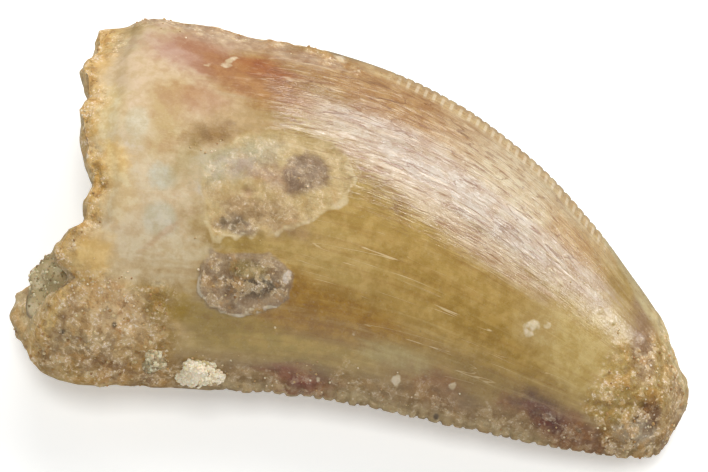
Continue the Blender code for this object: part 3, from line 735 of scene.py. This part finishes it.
    front_phase = on_body * FRONT[2] / FRONT_PITCH + 0.07 * np.sin(on_body * 70)
    rear_phase = on_body * REAR[2] / REAR_PITCH + 0.16 * np.sin(on_body * 90)
    rear_phase += 0.15 * np.sin(on_body * 53 + 1)
    nearer_front = to_front < to_rear
    standing = []
    for low, full, fade, end in (FRONT_DENTICLES, REAR_DENTICLES):
        kept = ease(low, full, on_body) * ease(end, fade, on_body)
        ends = ease(0, 0.03, on_body) * ease(1, 0.96, on_body)
        standing.append((0.05 + 0.95 * kept) * ends)
    store(piece, "phase", per_point(np.where(nearer_front, front_phase, rear_phase)))
    store(piece, "edge_gap", per_point(np.minimum(to_front, to_rear), 9, 0))
    store(piece, "standing", per_point(np.where(nearer_front, standing[0], standing[1]) * (shares_t > 0)))
    store(piece, "rearward", per_point(np.where(nearer_front, 0, 1)))
    away = on_edge(FRONT, on_body) - on_edge(REAR, on_body)
    away = away / np.linalg.norm(away, axis=-1, keepdims=True) * np.where(nearer_front, 1, -1)[..., None]
    away = np.concatenate([away, np.zeros_like(away[..., :1])], -1).reshape(-1, 3)
    store(piece, "outward", np.vstack([away, np.zeros((2, 3))]))
    growth_map(piece, row_t, v, side)
    return piece


def growth_map(piece, row_t, v, side):
    """A UV map in millimetres along the growth and across it, the lower side kept apart from the upper."""
    columns = len(v)
    along = np.concatenate([np.repeat(row_t * 21, columns), [row_t[0] * 21, 21]])
    across = np.concatenate([np.tile(v * 10, len(row_t)), [5, 5]])
    column = np.concatenate([np.tile(np.arange(columns), len(row_t)), [0, 0]])
    corners = np.zeros(len(piece.data.loops), np.int32)
    piece.data.loops.foreach_get("vertex_index", corners)
    starts, counts = (np.zeros(len(piece.data.polygons), np.int32) for _ in range(2))
    piece.data.polygons.foreach_get("loop_start", starts)
    piece.data.polygons.foreach_get("loop_total", counts)
    face_of = np.repeat(np.arange(len(starts)), counts)
    lowest = np.minimum.reduceat(np.where(column[corners] == 0, columns, column[corners]), starts)
    below = (lowest >= UPPER_COLUMNS)[face_of]
    # a face between the last lower column and the front edge counts as lower too
    highest = np.maximum.reduceat(column[corners], starts)
    below |= (highest > UPPER_COLUMNS)[face_of]
    flat = np.stack([along[corners], np.where(below, -across[corners], across[corners])], -1)
    piece.data.uv_layers.new(name="growth").data.foreach_set("uv", flat.ravel().astype(np.float32))


def modifier_result(piece, tree, inputs):
    """The piece after one run of a geometry tree, its mesh plain and the modifier gone."""
    modifier = piece.modifiers.new(tree.name, "NODES")
    modifier.node_group = tree
    sockets = {item.name: item.identifier for item in tree.interface.items_tree if item.in_out == "INPUT"}
    for name, value in inputs.items():
        modifier[sockets[name]] = value
    graph = bpy.context.evaluated_depsgraph_get()
    evaluated = piece.evaluated_get(graph)
    made = bpy.data.meshes.new_from_object(evaluated, preserve_all_data_layers=True, depsgraph=graph)
    piece.modifiers.remove(modifier)
    piece.data = made
    return piece


def new_tree(name, inputs):
    """A geometry tree with these named inputs and a material's, and their sockets inside it."""
    tree = bpy.data.node_groups.new(name, "GeometryNodeTree")
    kinds = {float: "NodeSocketFloat", int: "NodeSocketInt", str: "NodeSocketString"}
    for in_out in ("OUTPUT", "INPUT"):
        tree.interface.new_socket("Geometry", in_out=in_out, socket_type="NodeSocketGeometry")
    for label, value in inputs.items():
        socket = tree.interface.new_socket(label, in_out="INPUT", socket_type=kinds[type(value)])
        socket.default_value = value
    tree.interface.new_socket("Material", in_out="INPUT", socket_type="NodeSocketMaterial")
    return tree, tree.nodes.new("NodeGroupInput").outputs


def end_tree(tree, shape, material):
    """Makes a tree's instances real, sets the material and leads both to its output."""
    dressed = add(tree, "dress", add(tree, "make real", shape), material)
    tree.links.new(dressed, tree.nodes.new("NodeGroupOutput").inputs["Geometry"])
    return tree


def denticle_tree():
    """Pushes the cutting edges out into denticles and cuts the grooves between them down both flanks."""
    tree, given = new_tree("Denticles", DENTICLES)
    node = functools.partial(add, tree)
    names = ("phase", "edge_gap", "standing", "rearward")
    phase, gap, standing, rearward = (node("stored", name) for name in names)
    which = node("floor", phase)
    rear_size = node("random", 0.35, 1.35, given["Seed"], which)
    front_size = node("random", 0.75, 1.15, given["Seed"], which)
    front_reach = node("multiply", front_size, given["Front reach"])
    front_reach = node("multiply", front_reach, node("subtract", 1.0, rearward))
    reach = node("multiply_add", rearward, node("multiply", rear_size, given["Rear reach"]), front_reach)
    swing = node("absolute", node("subtract", node("fract", phase), 0.5))
    crest = node("spread", swing, 0.5, 0.26)
    near = node("spread", gap, given["Root"], 0.0)
    push = node("multiply", node("multiply", standing, reach), node("subtract", crest, 0.45))
    push = node("multiply", push, node("power", near, 2.0))
    sink = node("multiply", node("subtract", crest, 0.75), given["Groove"])
    sink = node("multiply", sink, node("multiply", near, standing))
    out = node("vector scale", node("stored vector", "outward"), push)
    down = node("vector scale", node("normal"), sink)
    moved = node("move", given["Geometry"], node("vector add", out, down))
    return end_tree(tree, moved, given["Material"])


def grain_tree(keep_ground):
    """Strews a surface with angular sand grains of mixed sizes, half sunk in it."""
    tree, given = new_tree("Sand grains", {
        "Grains per mm2": 60.0, "Cover": "cover", "Smallest": 0.00003, "Largest": 0.00009, "Seed": 7,
    })
    node = functools.partial(add, tree)
    per_mm2 = node("multiply", node("stored", given["Cover"]), given["Grains per mm2"])
    strewn = node("strew", given["Geometry"], node("multiply", per_mm2, 1e6), given["Seed"])
    ragged = node("noise", node("position"), 0.9, 1).node.outputs["Color"]
    ragged = node("vector scale", node("vector subtract", ragged, (0.5, 0.5, 0.5)), 1.1)
    stone = node("smooth", node("move", node("ball", 1.0, 1), ragged), False)
    turn = node("random turn", (0, 0, 0), (6.28, 6.28, 6.28), given["Seed"])
    size = node("random", given["Smallest"], given["Largest"], given["Seed"])
    shown = node("keep", node("copies", strewn, stone, turn, size), "tone", node("random", 0.0, 1.0, 11))
    if keep_ground:
        joined = node("join", given["Geometry"])
        tree.links.new(shown, joined.node.inputs[0])
        shown = joined
    return end_tree(tree, shown, given["Material"])


def strew(piece, keep_ground, material, cover, density, smallest, largest, seed):
    """Sand grains on a piece, so many to the square millimetre where the cover is full, sizes in metres."""
    return modifier_result(piece, grain_tree(keep_ground), {
        "Grains per mm2": density, "Cover": cover, "Smallest": smallest, "Largest": largest, "Seed": seed,
        "Material": material,
    })


def build_fill(material):
    """The rock in the cavity, its broken face bulging out over the lower wall beside the mouth's notch."""
    count = 110
    turn = np.arange(count) / count
    v = np.where(turn < 0.5, turn * 2, 2 - turn * 2)
    v = 0.5 - 0.5 * np.cos(np.pi * v)
    side = np.where(turn < 0.5, 1.0, -1.0)
    side[0] = side[count // 2] = 0
    mouth = cavity_surface(v, side, 1, 0)
    centre = mouth.mean(0)
    rows = [cavity_surface(v, side, 1, deep) for deep in (0.94, 0.6, 0.3, 0.1, 0.02)]
    for inward in np.linspace(0, 0.97, 30)[1:]:
        face = mouth + (centre - mouth) * inward
        face[:, 0] += 0.1 + 0.6 * ease(-2.9, -2.2, face[:, 1])
        bulge = np.exp(-((face[:, 1] + 3.4) / 0.5) ** 2) * ease(0, 0.3, inward)
        face[:, 0] -= 0.3 * bulge
        rows.append(face)
    grid = np.array(rows)[::-1]
    normal = grid_normals(grid)
    rough = 0.1 * grain(grid, 0.5, 20) + 0.05 * grain(grid, 0.24, 21) + 0.02 * grain(grid, 0.12, 22)
    rough = rough * ease(len(rows), len(rows) - 8, np.arange(len(rows)))[:, None]
    grid = grid + normal * rough[..., None]
    points = np.vstack([grid.reshape(-1, 3), grid[0].mean(0), grid[-1].mean(0)])
    piece = mesh_object("cavity_rock", points, ring_faces(len(rows), count), material)
    cover = np.zeros(len(points))
    cover[:28 * count] = 1
    store(piece, "cover", cover)
    store(piece, "tone", 0.5 + 0.5 * grain(points, 0.35, 23))
    return strew(piece, True, material, "cover", 60.0, 0.00002, 0.00006, 3)


def build_crumb(name, material, seed):
    """A crumb of sandstone on the flank: a lumpy cake with its own grains standing out of it."""
    middle, reach, share = CRUMBS[name]
    spokes = 60
    turn = 2 * np.pi * np.arange(spokes) / spokes
    steps = np.linspace(0, 1, 20)
    rows = []
    for step in steps:
        radius = math.cos(step * math.pi / 2) ** 0.6
        top = math.sin(step * math.pi / 2) ** 0.8
        ragged = max(radius, 0.05) * (1 + 0.16 * np.sin(3 * turn + 1) + 0.1 * np.sin(5 * turn))
        t = middle[0] + reach[0] * ragged * np.cos(turn)
        v = np.minimum(middle[1] + reach[1] * ragged * np.sin(turn), 0.994)
        base = plain_surface(t, v, 1)
        along = plain_surface(t + 0.004, v, 1) - plain_surface(t - 0.004, v, 1)
        across = plain_surface(t, np.minimum(v + 0.003, 1), 1) - plain_surface(t, v - 0.003, 1)
        normal = np.cross(across, along)
        normal /= np.linalg.norm(normal, axis=-1, keepdims=True)
        lift = -0.06 + CRUMB_HEIGHT * share * top
        rows.append(base + normal * lift)
    grid = np.array(rows)
    rough = 0.09 * grain(grid, 0.28, seed) + 0.05 * grain(grid, 0.12, seed + 1)
    grid = grid + np.array([0, 0, 1]) * rough[..., None]
    points = np.vstack([grid.reshape(-1, 3), grid[0].mean(0), grid[-1].mean(0)])
    faces = [face[::-1] for face in ring_faces(len(rows), spokes)]
    piece = mesh_object(name + "_grains", points, faces, material)
    store(piece, "cover", np.ones(len(points)))
    store(piece, "tone", 0.3 + 0.4 * share + 0.3 * grain(points, 0.3, seed + 2))
    return strew(piece, True, material, "cover", 200.0, 0.00003, 0.00008, seed)


def build_grit(tooth, name, material, cover, density, largest, seed):
    """Sand grains baked onto the rough parts of the tooth."""
    piece = in_scene(name, tooth.data.copy())
    return strew(piece, False, material, cover, density, 0.000012, largest, seed)


def build_stage():
    """The white table, the lights and the camera."""
    material = new_material("White acrylic light table, matt", {
        "Base Color": linear("#F4F5F3"), "Roughness": 0.8, "Emission Color": linear("#FFFFFF"),
        "Emission Strength": 0.3,
    })[0]
    mesh = bpy.data.meshes.new("table")
    turns = ((-1, -1), (1, -1), (1, 1), (-1, 1))
    corners = [(x * TABLE_REACH, y * TABLE_REACH, TABLE_TOP) for x, y in turns]
    mesh.from_pydata(corners, [], [(0, 1, 2, 3)])
    mesh.materials.append(material)
    table = in_scene("table", mesh)
    # a polarising filter on the camera takes the table's own glare off the tooth
    table.visible_glossy = False

    world = bpy.data.worlds.new("light tent")
    world.use_nodes = True
    sky = world.node_tree.nodes["Background"].inputs
    sky["Color"].default_value = linear("#FFFFFF")
    sky["Strength"].default_value = 0.2
    bpy.context.scene.world = world
    bpy.context.scene.view_settings.view_transform = "Standard"

    turn = math.radians(CAMERA_AZIMUTH)
    picture_up = Vector((-math.sin(turn), math.cos(turn), 0))
    picture_right = Vector((math.cos(turn), math.sin(turn), 0))
    for name, bearing, height, away, width, tall, watts, mirrored in LIGHTS:
        light = bpy.data.lights.new(name, "AREA")
        light.shape = "RECTANGLE"
        light.size, light.size_y = width, tall
        light.energy = watts
        lamp = in_scene(name, light)
        across, rise = math.radians(bearing), math.radians(height)
        level = picture_up * math.cos(across) + picture_right * math.sin(across)
        lamp.location = away * (level * math.cos(rise) + Vector((0, 0, math.sin(rise))))
        lamp.rotation_euler = lamp.location.to_track_quat("Z", "Y").to_euler()
        lamp.visible_glossy = mirrored

    lift = math.radians(CAMERA_ELEVATION)
    back = Vector((math.sin(turn) * math.cos(lift), -math.cos(turn) * math.cos(lift), math.sin(lift)))
    camera = bpy.data.cameras.new("camera")
    camera.lens = CAMERA_LENS
    camera.sensor_width = CAMERA_SENSOR
    camera.clip_start = 0.001
    holder = in_scene("camera", camera)
    distance = PICTURE_WIDTH * CAMERA_LENS / CAMERA_SENSOR
    holder.location = (Vector(CAMERA_AIM) + back * distance) * MM
    holder.rotation_euler = back.to_track_quat("Z", "Y").to_euler()
    bpy.context.scene.camera = holder


build_stage()
enamel = enamel_material()
cavity_rock = rock_material(
    "Cemented mud and sand, grey-green", [(0.0, "#857654"), (1.0, "#F0E4C6"), (0.5, "#BBA97F")], 0.09
)
sandstone = rock_material(
    "Pale sandstone, loosely cemented",
    [(0.0, "#6E5840"), (1.0, "#FFF2DE"), (0.06, "#BFA882"), (0.1, "#E3C88E"), (0.16, "#F0DEBE")], 0.1
)
grey_sandstone = rock_material(
    "Sandstone weathered to grey-beige", [(0.0, "#97825E"), (1.0, "#F0E3C6"), (0.5, "#CBB994")], 0.1
)
baked_sand = rock_material(
    "Sand grains baked on, cream to ochre",
    [(0.0, "#8F6E42"), (1.0, "#DCCBA6"), (0.4, "#B89460"), (0.7, "#CBB07E")], 0.05
)
sparkling_sand = rock_material(
    "Fine quartz sand baked on, white to pink", [(0.0, "#A47C50"), (1.0, "#EEDFC4"), (0.5, "#CDB080")], 0.04
)
tooth = build_tooth(enamel)
tooth = modifier_result(tooth, denticle_tree(), DENTICLES | {"Material": enamel})
rock = build_fill(cavity_rock)
grits = [
    build_grit(tooth, "baked_sand", baked_sand, "gritty", 9.0, 0.00006, 5),
    build_grit(tooth, "glittering_sand", sparkling_sand, "sugary", 22.0, 0.00004, 9),
]
for grit in grits:
    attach(grit, "root")
pieces = {"tooth": (tooth, "tooth"), "cavity_fill": (rock, "cavity_rock")}
for seed, name, dressing in ((31, "sand_crumb", sandstone), (47, "sand_crumb_small", grey_sandstone)):
    pieces[name] = (build_crumb(name, dressing, seed), "sandstone")
for node, (piece, slot) in pieces.items():
    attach(piece, "root")
    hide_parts(node)
